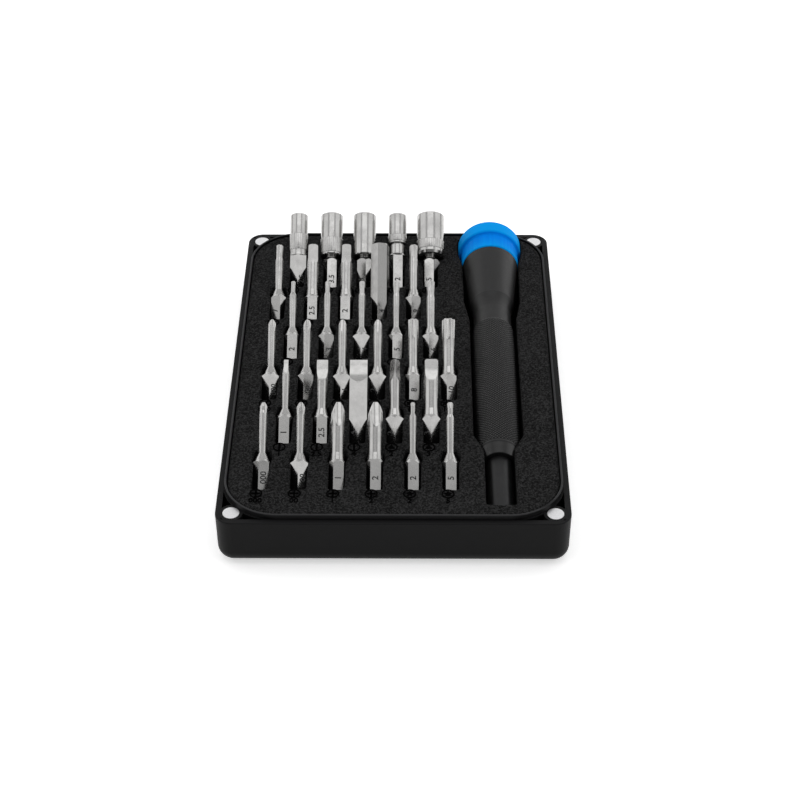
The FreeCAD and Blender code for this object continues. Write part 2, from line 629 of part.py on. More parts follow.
def build_bit(label):
    row, place, form, _, _, _, tip_turn, shank_turn = BITS[label]
    body = new_body(label)
    revolve(body, label + "_blank", turned_profile(label, form))
    cut_shank(body, label, -90 + shank_turn - tip_turn, form)
    radius = "{%s_tip} / 2" % label
    length = "{%s_tip_length}" % label
    if form in ("star", "star_bored"):
        cut_flutes(body, label, 6, radius + " * 1.12", radius + " * 0.4", length + " + 0.5")
    if form == "star_bored":
        cut_pin_hole(body, label)
    if form == "five_lobe":
        cut_flutes(body, label, 5, radius + " * 1.15", radius + " * 0.46", length + " + 0.5")
    elif form == "cross":
        cut_flutes(body, label, 4, radius + " * 1.1", radius + " * 0.84", length)
    elif form == "three_wing":
        cut_flutes(body, label, 3, radius + " * 1.2", radius + " * 0.95", length)
    elif form == "blade":
        cut_blade(body, label)
    elif form == "hex":
        cut_polygon_tip(body, label, 6, "{%s_tip} / sqrt(3)" % label)
    elif form == "triangle":
        cut_polygon_tip(body, label, 3, radius + " * 1.1")
    elif form == "socket":
        cut_socket(body, label)
    lay_back = Rotation(Vector(1, 0, 0), value_of("{bit_slope}") - 90)
    body.Placement = Placement(Vector(), lay_back * Rotation(Vector(0, 0, 1), tip_turn))
    bind(body, "Placement.Base.x", "%s + %d * {column_pitch}" % (row_left(row), place))
    bind(body, "Placement.Base.y", "%s - {bit_length} * cos({bit_slope} * 1 deg)" % row_tip(row))
    bind(body, "Placement.Base.z", "{tip_height} - {bit_length} * sin({bit_slope} * 1 deg)")
    return body


# ---- driver ------------------------------------------------------------------------------------


def lay_in_tray(item):
    """Put a driver piece, made upright on its own Z axis, on the driver's nearly level axis."""
    tilt = Rotation(Vector(1, 0, 0), value_of("{driver_tilt}") - 90)
    item.Placement = Placement(Vector(), tilt)
    bind(item, "Placement.Base.x", "{driver_across}")
    bind(item, "Placement.Base.y", "{driver_front}")
    bind(item, "Placement.Base.z", "{driver_height}")
    return item


def turned_piece(label, corners):
    body = new_body(label)
    revolve(body, label + "_turning", corners)
    return body


def build_bit_holder():
    """The steel shaft with its hex socket, a round magnet seat behind it and a pressed-in tail."""
    tail = "{holder_radius} - 0.5"
    body = turned_piece("bit_holder", [
        ("0", "0"), ("{holder_radius} - 0.3", "0"), ("{holder_radius}", "0.3"),
        ("{holder_radius}", "{knurl_start} + 4"), (tail, "{knurl_start} + 4"),
        (tail, "{holder_length} - 0.4"), (tail + " - 0.4", "{holder_length}"),
        ("0", "{holder_length}")])
    hexagon = new_sketch(body, "holder_hex_outline", "XY_Plane")
    draw_polygon(hexagon, 6, "{holder_hex_flats} / sqrt(3)", 90)
    pocket(body, "holder_hex", hexagon, "{holder_hex_depth}", reverse=True)
    seat = new_sketch(body, "holder_seat_outline", "XY_Plane", "{holder_hex_depth} - 0.5")
    draw_circle(seat, "0", "0", "{holder_magnet_radius} + {seat_gap}")
    pocket(body, "holder_seat", seat, "{holder_magnet_height} + 0.5 + {seat_gap}", reverse=True)
    return lay_in_tray(body)


def build_holder_magnet():
    magnet = DOC.addObject("Part::Cylinder", "holder_magnet")
    magnet.Label = "holder_magnet"
    bind(magnet, "Radius", "{holder_magnet_radius}")
    bind(magnet, "Height", "{holder_magnet_height}")
    lay_in_tray(magnet)
    climb = "({holder_hex_depth} + {seat_gap} / 2)"
    bind(magnet, "Placement.Base.y", "{driver_front} + %s * cos({driver_tilt} * 1 deg)" % climb)
    bind(magnet, "Placement.Base.z", "{driver_height} + %s * sin({driver_tilt} * 1 deg)" % climb)
    return magnet


def build_nose_collar():
    bore = "{holder_radius} + {seat_gap}"
    return lay_in_tray(turned_piece("nose_collar", [
        (bore, "{collar_start}"), ("{collar_front_radius} - 0.1", "{collar_start}"),
        ("{collar_front_radius}", "{collar_start} + 0.1"),
        ("{collar_rear_radius}", "{knurl_start} - 0.15"), ("{collar_rear_radius} - 0.35", "{knurl_start} - 0.05"),
        ("{collar_rear_radius} - 0.8", "{knurl_start} - 0.05"),
        ("{collar_rear_radius} - 0.8", "{knurl_start} + 3.5"), (bore, "{knurl_start} + 3.5")]))


def build_handle():
    """The knurled handle, bored for the collar and the holder in front and for the spindle behind."""
    spigot = "{collar_rear_radius} - 0.8 + {seat_gap}"
    tail = "{holder_radius} - 0.5 + {seat_gap}"
    step = "{knurl_start} + 3.5 + {seat_gap}"
    shaft_end = "{knurl_start} + 4 + {seat_gap}"
    holder_end = "{holder_length} + {seat_gap}"
    spindle = "{spindle_radius} + {seat_gap}"
    return lay_in_tray(turned_piece("handle", [
        (spigot, "{knurl_start}"), ("{knurl_front_radius} - 0.2", "{knurl_start}"),
        ("{knurl_front_radius}", "{knurl_start} + 0.3"),
        ("{knurl_radius}", "({knurl_start} + {knurl_end}) / 2"),
        ("{knurl_radius}", "{knurl_end} - 8", "-200"),
        ("{waist_radius} + 0.15", "{knurl_end}"), ("{waist_radius}", "{knurl_end} + 0.1"),
        ("{waist_radius}", "{waist_end}", "{neck_bow}"), ("{neck_radius}", "{neck_end}"),
        ("{seam_radius}", "{seam} - 0.2"),
        ("{seam_radius} - 0.2", "{seam}"), (spindle, "{seam}"),
        (spindle, "{seam} - {spindle_sunk} - {seat_gap}"), ("0", "{seam} - {spindle_sunk} - {seat_gap}"),
        ("0", holder_end), (tail, holder_end), (tail, shaft_end),
        ("{holder_radius} + {seat_gap}", shaft_end), ("{holder_radius} + {seat_gap}", step),
        (spigot, step)]))


def bearing_start():
    return "({seam} + {cap_gap} + {cap_wall})"


def build_spindle():
    """The steel pin that the cap turns on, with a groove for its clip."""
    groove = "(%s + {race_width} + 0.05)" % bearing_start()
    groove_end = groove + " + {clip_thickness} + 0.05"
    return lay_in_tray(turned_piece("cap_spindle", [
        ("0", "{seam} - {spindle_sunk}"), ("{spindle_radius}", "{seam} - {spindle_sunk}"),
        ("{spindle_radius}", "{seam}"), ("{spindle_radius} + 0.7", "{seam}"),
        ("{spindle_radius} + 0.7", bearing_start()), ("{spindle_radius} - 0.02", bearing_start()),
        ("{spindle_radius} - 0.02", groove), ("{spindle_radius} - 0.4", groove),
        ("{spindle_radius} - 0.4", groove_end), ("{spindle_radius} - 0.02", groove_end),
        ("{spindle_radius} - 0.02", groove_end + " + 0.5"), ("0", groove_end + " + 0.5")]))


def build_races():
    """Inner and outer race of the cap's small bearing, each with a shallow running groove."""
    start = bearing_start()
    middle = "(%s + {race_width} / 2)" % start
    end = "(%s + {race_width})" % start
    groove = "{ball_radius} * 0.97"
    run = "({ball_orbit} - {ball_radius} - 0.04)"
    inner = turned_piece("bearing_inner_race", [
        ("{race_bore}", start), ("{inner_race_radius} + 0.15", start),
        ("{inner_race_radius} + 0.15", "%s - %s" % (middle, groove)), (run, middle),
        ("{inner_race_radius} + 0.15", "%s + %s" % (middle, groove)),
        ("{inner_race_radius} + 0.15", end), ("{race_bore}", end)])
    run = "({ball_orbit} + {ball_radius} + 0.04)"
    outer = turned_piece("bearing_outer_race", [
        ("{outer_race_radius}", start), ("{outer_race_radius}", end),
        ("{outer_race_bore} - 0.15", end), ("{outer_race_bore} - 0.15", "%s + %s" % (middle, groove)),
        (run, middle), ("{outer_race_bore} - 0.15", "%s - %s" % (middle, groove)),
        ("{outer_race_bore} - 0.15", start)])
    return [lay_in_tray(inner), lay_in_tray(outer)]


def build_balls():
    """Fifteen balls on one orbit between the races, as separate solids in one group."""
    balls = []
    count = 15
    for index in range(count):
        angle = "(%g deg)" % (360.0 * index / count)
        ball = DOC.addObject("Part::Sphere", "bearing_ball_%d" % index)
        bind(ball, "Radius", "{ball_radius}")
        bind(ball, "Placement.Base.x", "{ball_orbit} * cos" + angle)
        bind(ball, "Placement.Base.y", "{ball_orbit} * sin" + angle)
        bind(ball, "Placement.Base.z", bearing_start() + " + {race_width} / 2")
        balls.append(ball)
    group = DOC.addObject("Part::Compound", "bearing_balls")
    group.Label = "bearing_balls"
    group.Links = balls
    return lay_in_tray(group)


def build_clip():
    """An open ring that snaps in the spindle's groove and keeps the bearing on."""
    start = "(%s + {race_width} + 0.07)" % bearing_start()
    bore = "{spindle_radius} - 0.37"
    body = turned_piece("spindle_clip", [
        (bore, start), ("{clip_radius}", start), ("{clip_radius}", start + " + {clip_thickness}"),
        (bore, start + " + {clip_thickness}")])
    gap = new_sketch(body, "clip_gap_outline", "XY_Plane", start + " - 1")
    draw_outline(gap, [("0", "-0.8"), ("2 * {clip_radius}", "-0.8"), ("2 * {clip_radius}", "0.8"),
                       ("0", "0.8")])
    pocket(body, "clip_gap", gap, "{clip_thickness} + 2", reverse=True)
    return lay_in_tray(body)


def build_cap():
    """The swivel cap: a plain band, a wider flange and a shallow dish for the palm."""
    start = "{seam} + {cap_gap}"
    inside = bearing_start() + " + {race_width}"
    seat = "{outer_race_radius}"
    return lay_in_tray(turned_piece("swivel_cap", [
        ("{spindle_radius} + 0.9", start), ("{cap_band_radius} - 0.2", start),
        ("{cap_band_radius}", start + " + 0.2"), ("{cap_band_radius}", "{cap_flange_start} - 0.6"),
        ("{cap_band_radius} + 0.2", "{cap_flange_start} - 0.2"),
        ("{cap_flange_radius} - 0.2", "{cap_flange_start}"),
        ("{cap_flange_radius}", "{cap_flange_start} + 0.4"),
        ("{cap_flange_radius}", "{cap_end} - 0.8"), ("{cap_flange_radius} - 0.25", "{cap_end} - 0.25"),
        ("{cap_flange_radius} - 0.9", "{cap_end}"), ("{cap_flange_radius} - 2.4", "{cap_end} - 0.1"),
        ("{cap_flange_radius} - 4.5", "{cap_end} - 0.8"), ("0", "{cap_end} - 1"),
        ("0", inside + " + {clip_thickness} + 1.4"),
        (seat + " - 0.7", inside + " + {clip_thickness} + 1.4"), (seat + " - 0.7", inside),
        (seat, inside), (seat, bearing_start()), ("{outer_race_bore}", bearing_start()),
        ("{outer_race_bore}", bearing_start() + " - 0.4"),
        ("{spindle_radius} + 0.9", bearing_start() + " - 0.4")]))


# ---- checks and output -------------------------------------------------------------------------


def write_parts(pieces):
    """Check the whole document, then write one STEP file for each piece."""
    DOC.recompute()
    for item in DOC.Objects:
        if "Invalid" in item.State or "Error" in item.State:
            raise RuntimeError("failed object: " + item.Label)
    for piece in pieces:
        if piece.Shape.isNull() or not piece.Shape.isValid():
            raise RuntimeError("bad shape: " + piece.Label)
    os.makedirs("parts", exist_ok=True)
    for piece in pieces:
        piece.Shape.exportStep("parts/%s.step" % piece.Label)
        print("%-22s %8.1f mm3, %d solid(s)" % (
            piece.Label, piece.Shape.Volume, len(piece.Shape.Solids)))


def main():
    fill_sheet()
    pieces = [build_tray(), build_magnets(), build_foam()]
    pieces += [build_bit(label) for label in BITS]
    pieces += [build_bit_holder(), build_holder_magnet(), build_nose_collar(), build_handle()]
    pieces += [build_spindle(), build_balls(), build_clip(), build_cap()]
    pieces += build_races()
    write_parts(pieces)


main()
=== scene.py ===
import json
import math

import bmesh
import bpy
import numpy as np
from mathutils import Matrix, Vector, noise


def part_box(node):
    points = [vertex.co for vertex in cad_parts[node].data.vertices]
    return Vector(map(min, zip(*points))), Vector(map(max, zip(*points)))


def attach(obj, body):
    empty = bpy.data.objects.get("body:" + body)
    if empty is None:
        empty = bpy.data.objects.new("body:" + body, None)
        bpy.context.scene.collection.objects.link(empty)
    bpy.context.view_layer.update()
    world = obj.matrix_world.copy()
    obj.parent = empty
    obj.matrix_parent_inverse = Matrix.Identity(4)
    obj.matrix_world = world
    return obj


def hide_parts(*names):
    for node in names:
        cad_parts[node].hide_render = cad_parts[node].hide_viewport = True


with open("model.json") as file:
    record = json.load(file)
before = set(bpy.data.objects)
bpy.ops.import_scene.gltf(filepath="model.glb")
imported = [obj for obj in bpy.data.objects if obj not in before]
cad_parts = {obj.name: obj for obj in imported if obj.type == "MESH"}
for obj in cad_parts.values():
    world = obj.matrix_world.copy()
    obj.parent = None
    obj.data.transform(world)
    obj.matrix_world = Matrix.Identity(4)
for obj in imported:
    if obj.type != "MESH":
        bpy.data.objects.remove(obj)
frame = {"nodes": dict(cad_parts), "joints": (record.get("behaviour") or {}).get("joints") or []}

# a new Blender file's own objects
for name in ("Cube", "Light", "Camera"):
    if name in bpy.data.objects:
        bpy.data.objects.remove(bpy.data.objects[name])
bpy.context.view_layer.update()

# A pocket tool set in its tray: a cut foam insert, steel bits and a driver with a knurled grip.
# Lengths are in metres, or in millimetres times MM.

MM = 0.001
NODES = frame["nodes"]
JOINTS = {joint["name"]: joint for joint in frame["joints"]}
BITS = sorted(name for name in NODES if name.startswith("bit_") and name != "bit_holder")
FOAM_LOW, FOAM_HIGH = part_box("foam_insert")


# ---- small helpers -----------------------------------------------------------------------------


def points_of(node):
    """A CAD node's vertices as an array, in metres."""
    mesh = NODES[node].data
    flat = np.zeros(len(mesh.vertices) * 3)
    mesh.vertices.foreach_get("co", flat)
    return flat.reshape(-1, 3)


def mesh_object(name, vertices, faces):
    """A new smooth-shaded object."""
    mesh = bpy.data.meshes.new(name)
    mesh.from_pydata([tuple(v) for v in vertices], [], faces)
    mesh.update()
    mesh.shade_smooth()
    piece = bpy.data.objects.new(name, mesh)
    bpy.context.scene.collection.objects.link(piece)
    return piece


def apply_modifiers(piece):
    """Bake a piece's modifiers into its mesh."""
    graph = bpy.context.evaluated_depsgraph_get()
    mesh = bpy.data.meshes.new_from_object(piece.evaluated_get(graph))
    old = piece.data
    piece.modifiers.clear()
    piece.data = mesh
    bpy.data.meshes.remove(old)


def finish_piece(piece, body, material):
    """Give a piece its material and slot, and let it move with a body."""
    piece.data.materials.clear()
    piece.data.materials.append(material)
    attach(piece, body)


# ---- materials ---------------------------------------------------------------------------------


class Nodes:
    """A node tree, with a few calls that keep the recipes below short."""

    def __init__(self, tree):
        self.tree = tree

    def add(self, kind, **settings):
        node = self.tree.nodes.new(kind)
        for key, value in settings.items():
            setattr(node, key, value)
        return node

    def link(self, source, target):
        self.tree.links.new(source, target)

    def remap(self, value, low, high, to_low, to_high, smooth=False):
        """Map one range to another, held at both ends."""
        node = self.add("ShaderNodeMapRange")
        if smooth:
            node.interpolation_type = "SMOOTHSTEP"
        self.link(value, node.inputs["Value"])
        for socket, number in zip(("From Min", "From Max", "To Min", "To Max"),
                                  (low, high, to_low, to_high)):
            node.inputs[socket].default_value = number
        return node.outputs["Result"]

    def math(self, operation, first, second=0.0):
        node = self.add("ShaderNodeMath", operation=operation)
        for index, value in enumerate((first, second)):
            if isinstance(value, (int, float)):
                node.inputs[index].default_value = value
            else:
                self.link(value, node.inputs[index])
        return node.outputs["Value"]

    def parts(self, vector):
        """The x, y and z of a vector."""
        node = self.add("ShaderNodeSeparateXYZ")
        self.link(vector, node.inputs["Vector"])
        return node.outputs["X"], node.outputs["Y"], node.outputs["Z"]


class Material(Nodes):
    """A new material on a Principled shader."""

    def __init__(self, name):
        self.material = bpy.data.materials.new(name)
        self.material.use_nodes = True
        super().__init__(self.material.node_tree)
        self.shader = self.tree.nodes["Principled BSDF"]
        self.place = self.add("ShaderNodeTexCoord").outputs["Object"]

    def noise(self, size_mm, detail=3.0, roughness=0.6, vector=None):
        """Noise whose features are about size_mm across."""
        node = self.add("ShaderNodeTexNoise")
        node.inputs["Scale"].default_value = 1.0 / (size_mm * MM)
        node.inputs["Detail"].default_value = detail
        node.inputs["Roughness"].default_value = roughness
        self.link(vector or self.place, node.inputs["Vector"])
        return node.outputs["Fac"]

    def cells(self, size_mm):
        """Distance to the nearest point of a random scatter about size_mm apart."""
        node = self.add("ShaderNodeTexVoronoi")
        node.inputs["Scale"].default_value = 1.0 / (size_mm * MM)
        self.link(self.place, node.inputs["Vector"])
        return node.outputs["Distance"]

    def mix_colour(self, factor, first, second):
        node = self.add("ShaderNodeMix", data_type="RGBA")
        self.link(factor, node.inputs["Factor"])
        for socket, colour in ((node.inputs[6], first), (node.inputs[7], second)):
            if hasattr(colour, "links"):
                self.link(colour, socket)
            else:
                socket.default_value = (*colour, 1.0)
        return node.outputs[2]

    def bump(self, height, depth_mm, strength=1.0):
        node = self.add("ShaderNodeBump")
        node.inputs["Distance"].default_value = depth_mm * MM
        node.inputs["Strength"].default_value = strength
        self.link(height, node.inputs["Height"])
        self.link(node.outputs["Normal"], self.shader.inputs["Normal"])

    def edges(self, low, high):
        """From 0 at the first pointiness to 1 at the second; a flat face is 0.5."""
        pointiness = self.add("ShaderNodeNewGeometry").outputs["Pointiness"]
        return self.remap(pointiness, low, high, 0.0, 1.0)

    def carved(self):
        """How deep a point lies in its piece's own grooves, from 0 on a crest to 1 in a groove."""
        return self.add("ShaderNodeAttribute", attribute_name="carved").outputs["Fac"]

    def set(self, **values):
        for key, value in values.items():
            socket = self.shader.inputs[key.replace("_", " ")]
            if hasattr(value, "links"):
                self.link(value, socket)
            elif isinstance(value, tuple):
                socket.default_value = (*value, 1.0)
            else:
                socket.default_value = value


def moulded_plastic(name, colour, paler, roughness, shine, grain_mm=0.35, grain_depth=0.012,
                    edge_wear_and_sheen=0.35, hollow_shade=0.44, crest=None, knurled=False):
    """Satin moulded plastic: fine spark-eroded grain, faint mottling, and paler edges that are
    partly edge wear and partly a painted highlight; hollows are painted darker as shade.

    A crest is a height: from just below it the moulding is painted paler as a highlight, and from
    1.1 mm above it far paler still. In a knurled moulding the grooves are painted dark as shade and
    lose their shine.
    """
    n = Material(name)
    mottle = n.noise(6.0, detail=4.0)
    base = n.mix_colour(n.remap(mottle, 0.35, 0.7, 0.0, 1.0), colour, paler)
    # painted highlight: from just below the crest height the moulding is painted paler, and far
    # paler from 1.1 mm above it
    if crest:
        height = n.parts(n.place)[2]
        base = n.mix_colour(n.remap(height, crest - 0.2 * MM, crest - 0.05 * MM, 0.0, 1.0), base,
                            tuple(2.6 * c for c in paler))
        base = n.mix_colour(n.remap(height, crest + 1.1 * MM, crest + 1.25 * MM, 0.0, 1.0), base,
                            tuple(9.0 * c for c in paler))
    # convex edges painted paler: partly edge wear, partly a painted highlight
    wear_and_painted_light = n.mix_colour(n.math("MULTIPLY", n.edges(0.5, 0.56), edge_wear_and_sheen), base,
                        tuple(min(1.0, 2.2 * c) for c in paler))
    # painted shade: concave hollows are painted darker
    wear_and_painted_light = n.mix_colour(n.edges(0.5, hollow_shade), wear_and_painted_light, tuple(0.25 * c for c in colour))
    # painted shade: a knurl's grooves are painted nearly black
    if knurled:
        wear_and_painted_light = n.mix_colour(n.carved(), wear_and_painted_light, tuple(0.1 * c for c in colour))
    grain = n.noise(grain_mm, detail=2.0, roughness=0.5)
    rough = n.math("ADD", n.remap(grain, 0.3, 0.7, -0.04, 0.05),
                   n.remap(mottle, 0.3, 0.7, roughness - 0.03, roughness + 0.03))
    if knurled:
        shine = n.remap(n.carved(), 0.1, 0.8, shine, 0.02)
    n.set(Base_Color=wear_and_painted_light, Roughness=rough, Specular_IOR_Level=shine)
    n.bump(grain, grain_depth)
    return n.material


def foam_material():
    """Closed-cell foam: black, dead matt, with open cells at the cut surface."""
    n = Material("foam_cut_cells")
    speckle = n.noise(0.4, detail=3.0, roughness=0.8)
    pores = n.cells(0.5)
    cloud = n.noise(9.0, detail=3.0)
    tone = n.math("ADD", n.remap(speckle, 0.45, 0.6, 0.0, 0.85), n.remap(cloud, 0.3, 0.7, 0.0, 0.15))
    skin = n.mix_colour(tone, (0.0004, 0.0004, 0.0004), (0.038, 0.038, 0.0385))
    # painted shade: the walls of the slots, from 0.3 mm below the foam's top down to 1 mm below it,
    # turn nearly black; the open top skin keeps its speckle
    height = n.parts(n.place)[2]
    base = n.mix_colour(n.remap(height, FOAM_HIGH.z - 1.0 * MM, FOAM_HIGH.z - 0.3 * MM, 1.0, 0.0),
                        skin, (0.0006, 0.0006, 0.0006))
    n.set(Base_Color=base, Roughness=0.93, Specular_IOR_Level=0.1)
    relief = n.math("ADD", n.math("MULTIPLY", speckle, 0.8), n.math("MULTIPLY", pores, 0.5))
    n.bump(relief, 0.22, strength=0.9)
    return n.material


def blasted_steel(name, colour, roughness):
    """Satin nickel-plated steel with a fine blasted grain and faint handling marks."""
    n = Material(name)
    grain = n.noise(0.12, detail=2.0)
    smear = n.noise(3.5, detail=5.0)
    dull = tuple(c * 0.82 for c in colour)
    base = n.mix_colour(n.remap(smear, 0.4, 0.75, 0.0, 1.0), colour, dull)
    dark = n.mix_colour(n.remap(n.noise(0.5, detail=4.0), 0.62, 0.74, 0.0, 0.35), base,
                        tuple(c * 0.45 for c in colour))
    rough = n.math("ADD", n.remap(smear, 0.35, 0.7, roughness - 0.05, roughness + 0.08),
                   n.remap(grain, 0.3, 0.7, -0.03, 0.03))
    n.set(Base_Color=dark, Metallic=1.0, Roughness=rough)
    n.bump(grain, 0.01, strength=0.5)
    return n.material


def turned_steel(name, colour, roughness):
    """Turned metal with faint rings round the driver's axis and a little colour drift."""
    n = Material(name)
    stretch = n.add("ShaderNodeMapping")
    stretch.inputs["Scale"].default_value = (0.02, 1.0, 0.02)
    n.link(n.place, stretch.inputs["Vector"])
    rings = n.noise(0.12, detail=3.0, vector=stretch.outputs["Vector"])
    drift = n.noise(4.0, detail=3.0)
    base = n.mix_colour(n.remap(drift, 0.35, 0.7, 0.0, 1.0), colour, tuple(c * 0.8 for c in colour))
    rough = n.remap(rings, 0.3, 0.7, roughness - 0.06, roughness + 0.08)
    n.set(Base_Color=base, Metallic=0.85, Roughness=rough)
    n.bump(rings, 0.006, strength=0.6)
    return n.material


def plated_disc():
    """Bright nickel on a magnet: nearly mirror-smooth, with fine scuffs."""
    n = Material("nickel_disc")
    scuffs = n.noise(0.3, detail=6.0, roughness=0.7)
    base = n.mix_colour(n.remap(scuffs, 0.45, 0.75, 0.0, 1.0), (0.94, 0.94, 0.95), (0.8, 0.8, 0.81))
    n.set(Base_Color=base, Metallic=1.0, Roughness=n.remap(scuffs, 0.3, 0.8, 0.3, 0.5))
    n.bump(scuffs, 0.006, strength=0.4)
    return n.material


def mark_material(name, colour, shine):
    """A dull mark, a little uneven, as a press or an etch leaves it."""
    n = Material(name)
    fade = n.noise(0.6, detail=3.0)
    base = n.mix_colour(n.remap(fade, 0.4, 0.7, 0.0, 1.0), colour, tuple(3 * c for c in colour))
    n.set(Base_Color=base, Roughness=0.9, Specular_IOR_Level=shine)
    return n.material


RIM_HEIGHT = 12.0 * MM
# painted highlights: the tray's convex edges are painted fully pale, and from its rim height up it
# is painted paler, its inner ridge's top far paler
TRAY = moulded_plastic("tray_moulding", (0.0035, 0.0035, 0.0036), (0.005, 0.005, 0.0052),
                       roughness=0.45, shine=0.08, edge_wear_and_sheen=1.0, crest=RIM_HEIGHT)
GRIP = moulded_plastic("grip_moulding", (0.0052, 0.0052, 0.0054), (0.0074, 0.0074, 0.0077),
                       roughness=0.42, shine=0.38, grain_mm=0.25, grain_depth=0.008)
# the knurl is the grip's plastic painted paler, with its grooves painted dark as shade
KNURL = moulded_plastic("grip_knurl_moulding", (0.0095, 0.0095, 0.0097), (0.013, 0.013, 0.0133),
                        roughness=0.42, shine=0.6, grain_mm=0.25, grain_depth=0.008, knurled=True)
COLLAR = moulded_plastic("collar_moulding", (0.004, 0.004, 0.0042), (0.0056, 0.0056, 0.0058),
                         roughness=0.3, shine=0.38, grain_mm=0.2, grain_depth=0.004)
# painted shade: the cap's hollows are painted darker, more gently than the other mouldings'
BLUE = moulded_plastic("cap_moulding", (0.0001, 0.23, 0.87), (0.0002, 0.26, 0.97),
                       roughness=0.55, shine=0.02, grain_mm=0.25, grain_depth=0.006, hollow_shade=0.2)
FOAM = foam_material()
BIT_STEEL = blasted_steel("bit_satin_steel", (0.5, 0.495, 0.487), roughness=0.19)
DARK_STEEL = turned_steel("blackened_shaft", (0.035, 0.035, 0.036), 0.38)
PIN_STEEL = turned_steel("ground_pin", (0.55, 0.55, 0.56), 0.25)
BEARING = turned_steel("bearing_steel_polish", (0.62, 0.62, 0.63), 0.16)
NICKEL = plated_disc()
MARK = mark_material("pressed_mark", (0.0012, 0.0012, 0.0012), 0.0)
ETCH = mark_material("etched_number", (0.05, 0.05, 0.05), 0.3)

CAD_MATERIALS = {
    "tray_shell": TRAY, "tray_magnets": NICKEL, "handle": GRIP, "nose_collar": COLLAR,
    "bit_holder": DARK_STEEL, "holder_magnet": NICKEL, "cap_spindle": PIN_STEEL,
    "bearing_inner_race": BEARING, "bearing_balls": BEARING, "spindle_clip": PIN_STEEL,
    "swivel_cap": BLUE, "bearing_outer_race": BEARING,
}
EDGE_BREAK = 0.05 * MM
SHARPEST_UNBROKEN = math.radians(28)

# real blasted steel blurs the cap's reflection away, which this smoother steel would not
NODES["swivel_cap"].visible_glossy = False
for node_name, node in NODES.items():
    node.data.materials.clear()
    node.data.materials.append(CAD_MATERIALS.get(node_name, BIT_STEEL))
    if node_name in BITS:
        # every ground edge is broken a little, so that it catches the light
        edge = node.modifiers.new("broken_edges", "BEVEL")
        edge.width = EDGE_BREAK
        edge.segments = 2
        edge.limit_method = "ANGLE"
        edge.angle_limit = SHARPEST_UNBROKEN


# ---- foam insert -------------------------------------------------------------------------------


# a bit's vertices this near its end are its butt, and its shank is at least this long
BUTT_DEPTH = 0.05 * MM
SHANK_LENGTH = 12 * MM


def bit_line(bit):
    """The butt's centre, the way to the tip, and the turn of the hexagon shank about that way."""
    axis = Vector(JOINTS[bit + "_pull"]["axis"]).normalized()
    vertices = points_of(bit)
    along = vertices @ np.array(axis)
    butt_ring = vertices[along < along.min() + BUTT_DEPTH]
    butt = Vector((butt_ring.min(0) + butt_ring.max(0)) / 2)
    side = Vector((1, 0, 0))
    upper = axis.cross(side).normalized()
    shank = vertices[along < along.min() + SHANK_LENGTH] - np.array(butt)
    across = np.stack([shank @ np.array(side), shank @ np.array(upper)], 1)
    corner = across[np.argmax((across ** 2).sum(1))]
    return butt, axis, side, upper, math.atan2(corner[1], corner[0])


def prism(outline, low, high):
    """Vertices and faces of a prism between two copies of an outline of 3-D points."""
    count = len(outline)
    vertices = [p + low for p in outline] + [p + high for p in outline]
    faces = [tuple(range(count))[::-1], tuple(range(count, 2 * count))]
    faces += [(i, (i + 1) % count, count + (i + 1) % count, count + i) for i in range(count)]
    return vertices, faces


def rounded_outline(corners, radius, steps=5):
    """A plan outline with each corner rounded, from (x, y) corners in metres, anticlockwise."""
    result = []
    count = len(corners)
    for index in range(count):
        here = Vector(corners[index])
        before = (Vector(corners[index - 1]) - here).normalized()
        after = (Vector(corners[(index + 1) % count]) - here).normalized()
        reach = radius / math.tan(before.angle(after) / 2)
        start, end = here + before * reach, here + after * reach
        for step in range(steps + 1):
            t = step / steps
            result.append((1 - t) ** 2 * start + 2 * t * (1 - t) * here + t ** 2 * end)
    return result


def add_cutter(cutters, outline, low, high):
    """Add one closed prism to a cutter bmesh."""
    vertices, faces = prism(outline, low, high)
    made = [cutters.verts.new(v) for v in vertices]
    for face in faces:
        cutters.faces.new([made[i] for i in face])


SLOT_HALF_WIDTH = 1.8 * MM
SLOT_FLOOR = FOAM_LOW.z + 4.5 * MM
# how far the front and the back of a slot's mouth lie behind the middle of its bit's butt
SLOT_FRONT = 1.84 * MM
SLOT_BACK = 13.74 * MM
SLOT_CORNER = 0.5 * MM
# the hexagon tunnel round a shank: its corner radius, and its ends along the bit from the butt
SHANK_CORNER = 2.36 * MM
TUNNEL = (-0.1 * MM, 17 * MM)
# the scoop under a nut driver's wide end
SCOOP = (16.4 * MM, 26 * MM)
SCOOP_PLAY = 0.15 * MM
RECESS_FLOOR = FOAM_LOW.z + 1.2 * MM
RECESS_CORNER = 0.35 * MM
# how far a cutter stands above the foam's top
OVERCUT = 1 * MM


def add_well(cutters, plan, floor):
    """Add a straight-walled well with the given plan and floor height."""
    outline = [Vector((p.x, p.y, 0)) for p in plan]
    add_cutter(cutters, outline, Vector((0, 0, floor)), Vector((0, 0, FOAM_HIGH.z + OVERCUT)))


def ring_points(middle, side, upper, radius, count, turn=0.0):
    """Points evenly round a circle that faces along a bit."""
    angles = [turn + 2 * math.pi * index / count for index in range(count)]
    return [middle + (side * math.cos(a) + upper * math.sin(a)) * radius for a in angles]


